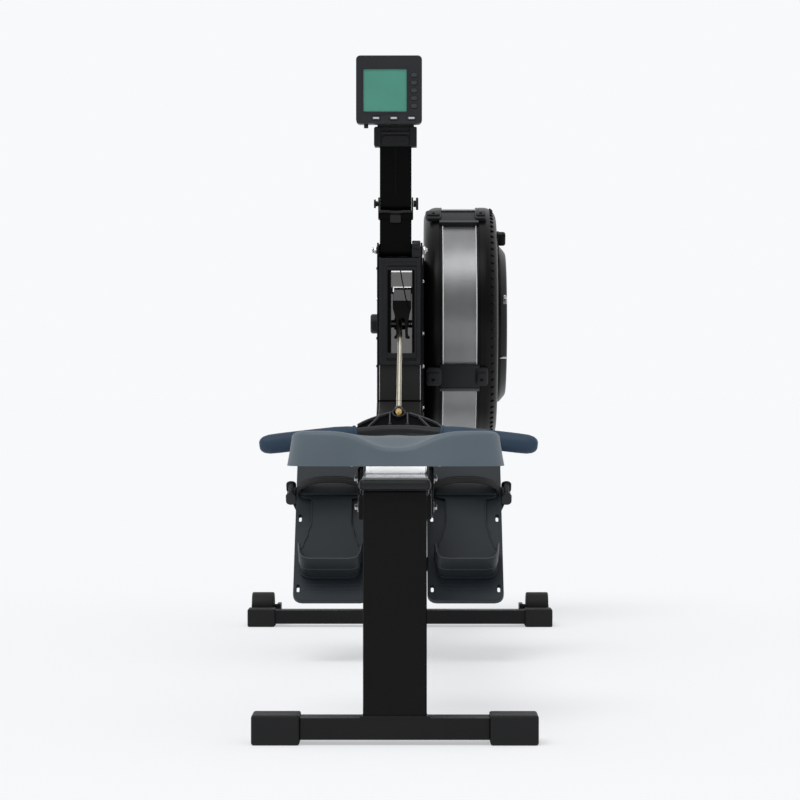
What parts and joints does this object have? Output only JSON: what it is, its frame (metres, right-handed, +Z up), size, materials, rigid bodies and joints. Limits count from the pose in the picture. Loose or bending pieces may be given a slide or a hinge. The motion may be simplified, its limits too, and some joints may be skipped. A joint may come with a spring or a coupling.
{
  "type": "air rowing machine",
  "caption": "Air rowing machine: a seat rolls on a long rail, and a chain handle spins a caged fan above strapped footboards and a monitor on a folding arm.",
  "frame": {"origin": "middle of the footprint, on the floor", "axes": "+Z up, +Y along the rail from the seat end to the flywheel end, +X to the rower's right"},
  "size_m": [0.61, 2.428, 1.1247],
  "materials": {
    "black_steel": "fine textured powder coat",
    "track_steel": "polished stainless strip",
    "rail_aluminium": "extruded, anodised",
    "bright_steel": "zinc plated",
    "seat_plastic": "fine grained",
    "dark_plastic": "fine grained",
    "cage_plastic": "satin",
    "board_plastic": "fine grained",
    "foot_rubber": "moulded",
    "strap_web": "woven webbing",
    "grip_rubber": "soft touch",
    "chain_steel": "oiled nickel plate",
    "swivel_brass": "turned",
    "band_steel": "perforated sheet",
    "screen_glass": "clear window over a green display",
    "key_rubber": "soft touch",
    "fan_metal": "cast and painted",
    "cord_rubber": "braided cover"
  },
  "bodies": {
    "frame": {"main_frame": "black_steel", "front_leg": "black_steel", "front_foot_cap_left": "foot_rubber", "front_foot_cap_right": "foot_rubber", "chain_shroud": "dark_plastic", "handle_hook": "black_steel", "footboard_left": "board_plastic", "footboard_right": "board_plastic", "foot_strap_left": "strap_web", "foot_strap_right": "strap_web", "strap_buckle_left": "dark_plastic", "strap_buckle_right": "dark_plastic", "bearing_housing_left": "dark_plastic", "bearing_housing_right": "dark_plastic", "cage_inner": "cage_plastic", "cage_outer": "cage_plastic", "perforated_band": "band_steel", "shock_cord": "cord_rubber", "drive_chain": "chain_steel"},
    "rail_section": {"monorail_beam": "rail_aluminium", "rail_track": "track_steel", "rail_end_cap": "dark_plastic", "rail_front_stop": "foot_rubber", "rear_leg": "black_steel", "rear_foot_cap_left": "foot_rubber", "rear_foot_cap_right": "foot_rubber"},
    "seat": {"seat_shell": "seat_plastic", "seat_carriage": "black_steel"},
    "front_rollers": {"top_rollers_front": "key_rubber"},
    "rear_rollers": {"top_rollers_rear": "key_rubber"},
    "frame_lock": {"frame_lock_lever": "dark_plastic"},
    "handle": {"handle_core": "dark_plastic", "handle_grip_left": "grip_rubber", "handle_grip_right": "grip_rubber", "chain_swivel": "swivel_brass"},
    "sprocket": {"drive_sprocket": "bright_steel"},
    "return_wheel": {"return_pulley": "dark_plastic"},
    "cord_wheel": {"cord_pulley": "dark_plastic"},
    "flywheel": {"flywheel_fan": "fan_metal", "flywheel_axle": "bright_steel"},
    "damper": {"damper_shutter": "cage_plastic"},
    "caster_left": {"caster_wheel_left": "foot_rubber"},
    "caster_right": {"caster_wheel_right": "foot_rubber"},
    "foot_plate_left": {"flexfoot_left": "dark_plastic"},
    "foot_plate_right": {"flexfoot_right": "dark_plastic"},
    "lower_arm": {"arm_lower": "black_steel"},
    "upper_arm": {"arm_upper": "black_steel", "monitor_yoke": "dark_plastic"},
    "base_screw": {"base_clamp_screw": "bright_steel"},
    "fold_screw": {"arm_clamp_screw": "bright_steel"},
    "monitor": {"monitor_case": "dark_plastic", "monitor_screen": "screen_glass"},
    "key_side_1_body": {"key_side_1": "key_rubber"},
    "key_side_2_body": {"key_side_2": "key_rubber"},
    "key_side_3_body": {"key_side_3": "key_rubber"},
    "key_side_4_body": {"key_side_4": "key_rubber"},
    "key_side_5_body": {"key_side_5": "key_rubber"},
    "key_bottom_1_body": {"key_bottom_1": "key_rubber"},
    "key_bottom_2_body": {"key_bottom_2": "key_rubber"},
    "key_bottom_3_body": {"key_bottom_3": "key_rubber"}
  },
  "joints": [
    {"name": "rail_separation", "type": "slide", "parent": "frame", "child": "rail_section", "axis": [0, -1, 0], "range_m": [0, 0.08]},
    {"name": "seat_roll", "type": "slide", "parent": "rail_section", "child": "seat", "axis": [0, 1, 0], "range_m": [-0.09, 0.76]},
    {"name": "front_rollers_turn", "type": "hinge", "parent": "seat", "child": "front_rollers", "pos_m": [0, -0.841, 0.3678], "axis": [1, 0, 0], "continuous": true},
    {"name": "rear_rollers_turn", "type": "hinge", "parent": "seat", "child": "rear_rollers", "pos_m": [0, -0.961, 0.3678], "axis": [1, 0, 0], "continuous": true},
    {"name": "frame_lock_swing", "type": "hinge", "parent": "frame", "child": "frame_lock", "pos_m": [0, 0.027, 0.213], "axis": [1, 0, 0], "range_deg": [0, 35]},
    {"name": "handle_pull", "type": "slide", "parent": "frame", "child": "handle", "axis": [0, -0.96, 0.28], "range_m": [0, 1], "stiffness_N_per_m": 15, "springref_m": -0.6, "deforming": ["drive_chain", "shock_cord"]},
    {"name": "sprocket_turn", "type": "hinge", "parent": "frame", "child": "sprocket", "pos_m": [0, 0.976, 0.61], "axis": [1, 0, 0], "continuous": true},
    {"name": "return_wheel_turn", "type": "hinge", "parent": "frame", "child": "return_wheel", "pos_m": [0, 0.346, 0.25], "axis": [1, 0, 0], "continuous": true},
    {"name": "cord_wheel_turn", "type": "hinge", "parent": "frame", "child": "cord_wheel", "pos_m": [0, 0.776, 0.4], "axis": [1, 0, 0], "continuous": true},
    {"name": "flywheel_spin", "type": "hinge", "parent": "frame", "child": "flywheel", "pos_m": [0, 0.976, 0.61], "axis": [1, 0, 0], "continuous": true},
    {"name": "damper_turn", "type": "hinge", "parent": "frame", "child": "damper", "pos_m": [0, 0.976, 0.61], "axis": [1, 0, 0], "range_deg": [-20, 40]},
    {"name": "caster_left_spin", "type": "hinge", "parent": "frame", "child": "caster_left", "pos_m": [0, 0.906, 0.0355], "axis": [1, 0, 0], "continuous": true},
    {"name": "caster_right_spin", "type": "hinge", "parent": "frame", "child": "caster_right", "pos_m": [0, 0.906, 0.0355], "axis": [1, 0, 0], "continuous": true},
    {"name": "foot_plate_left_slide", "type": "slide", "parent": "frame", "child": "foot_plate_left", "axis": [0, 0.682, 0.7314], "range_m": [-0.0254, 0.0381]},
    {"name": "foot_plate_right_slide", "type": "slide", "parent": "frame", "child": "foot_plate_right", "axis": [0, 0.682, 0.7314], "range_m": [-0.0254, 0.0381]},
    {"name": "arm_base_swing", "type": "hinge", "parent": "frame", "child": "lower_arm", "pos_m": [0, 0.711, 0.748], "axis": [1, 0, 0], "range_deg": [0, 45]},
    {"name": "arm_fold", "type": "hinge", "parent": "lower_arm", "child": "upper_arm", "pos_m": [0, 0.711, 0.839], "axis": [1, 0, 0], "range_deg": [0, 90]},
    {"name": "base_screw_turn", "type": "hinge", "parent": "frame", "child": "base_screw", "pos_m": [0, 0.711, 0.748], "axis": [1, 0, 0], "range_deg": [-180, 180]},
    {"name": "fold_screw_turn", "type": "hinge", "parent": "lower_arm", "child": "fold_screw", "pos_m": [0, 0.711, 0.839], "axis": [1, 0, 0], "range_deg": [-180, 180]},
    {"name": "monitor_tilt", "type": "hinge", "parent": "upper_arm", "child": "monitor", "pos_m": [0, 0.711, 1.0232], "axis": [1, 0, 0], "range_deg": [-25, 8]},
    {"name": "key_side_1_press", "type": "slide", "parent": "monitor", "child": "key_side_1_body", "axis": [0, 1, 0], "range_m": [0, 0.0008], "stiffness_N_per_m": 300},
    {"name": "key_side_2_press", "type": "slide", "parent": "monitor", "child": "key_side_2_body", "axis": [0, 1, 0], "range_m": [0, 0.0008], "stiffness_N_per_m": 300},
    {"name": "key_side_3_press", "type": "slide", "parent": "monitor", "child": "key_side_3_body", "axis": [0, 1, 0], "range_m": [0, 0.0008], "stiffness_N_per_m": 300},
    {"name": "key_side_4_press", "type": "slide", "parent": "monitor", "child": "key_side_4_body", "axis": [0, 1, 0], "range_m": [0, 0.0008], "stiffness_N_per_m": 300},
    {"name": "key_side_5_press", "type": "slide", "parent": "monitor", "child": "key_side_5_body", "axis": [0, 1, 0], "range_m": [0, 0.0008], "stiffness_N_per_m": 300},
    {"name": "key_bottom_1_press", "type": "slide", "parent": "monitor", "child": "key_bottom_1_body", "axis": [0, 1, 0], "range_m": [0, 0.0008], "stiffness_N_per_m": 300},
    {"name": "key_bottom_2_press", "type": "slide", "parent": "monitor", "child": "key_bottom_2_body", "axis": [0, 1, 0], "range_m": [0, 0.0008], "stiffness_N_per_m": 300},
    {"name": "key_bottom_3_press", "type": "slide", "parent": "monitor", "child": "key_bottom_3_body", "axis": [0, 1, 0], "range_m": [0, 0.0008], "stiffness_N_per_m": 300}
  ],
  "couplings": [
    {"joint": "front_rollers_turn", "follows": "seat_roll", "rad_per_m": -64.516},
    {"joint": "rear_rollers_turn", "follows": "seat_roll", "rad_per_m": -64.516},
    {"joint": "sprocket_turn", "follows": "handle_pull", "rad_per_m": 57.803},
    {"joint": "return_wheel_turn", "follows": "handle_pull", "rad_per_m": -39.526},
    {"joint": "cord_wheel_turn", "follows": "handle_pull", "rad_per_m": -45.872}
  ]
}
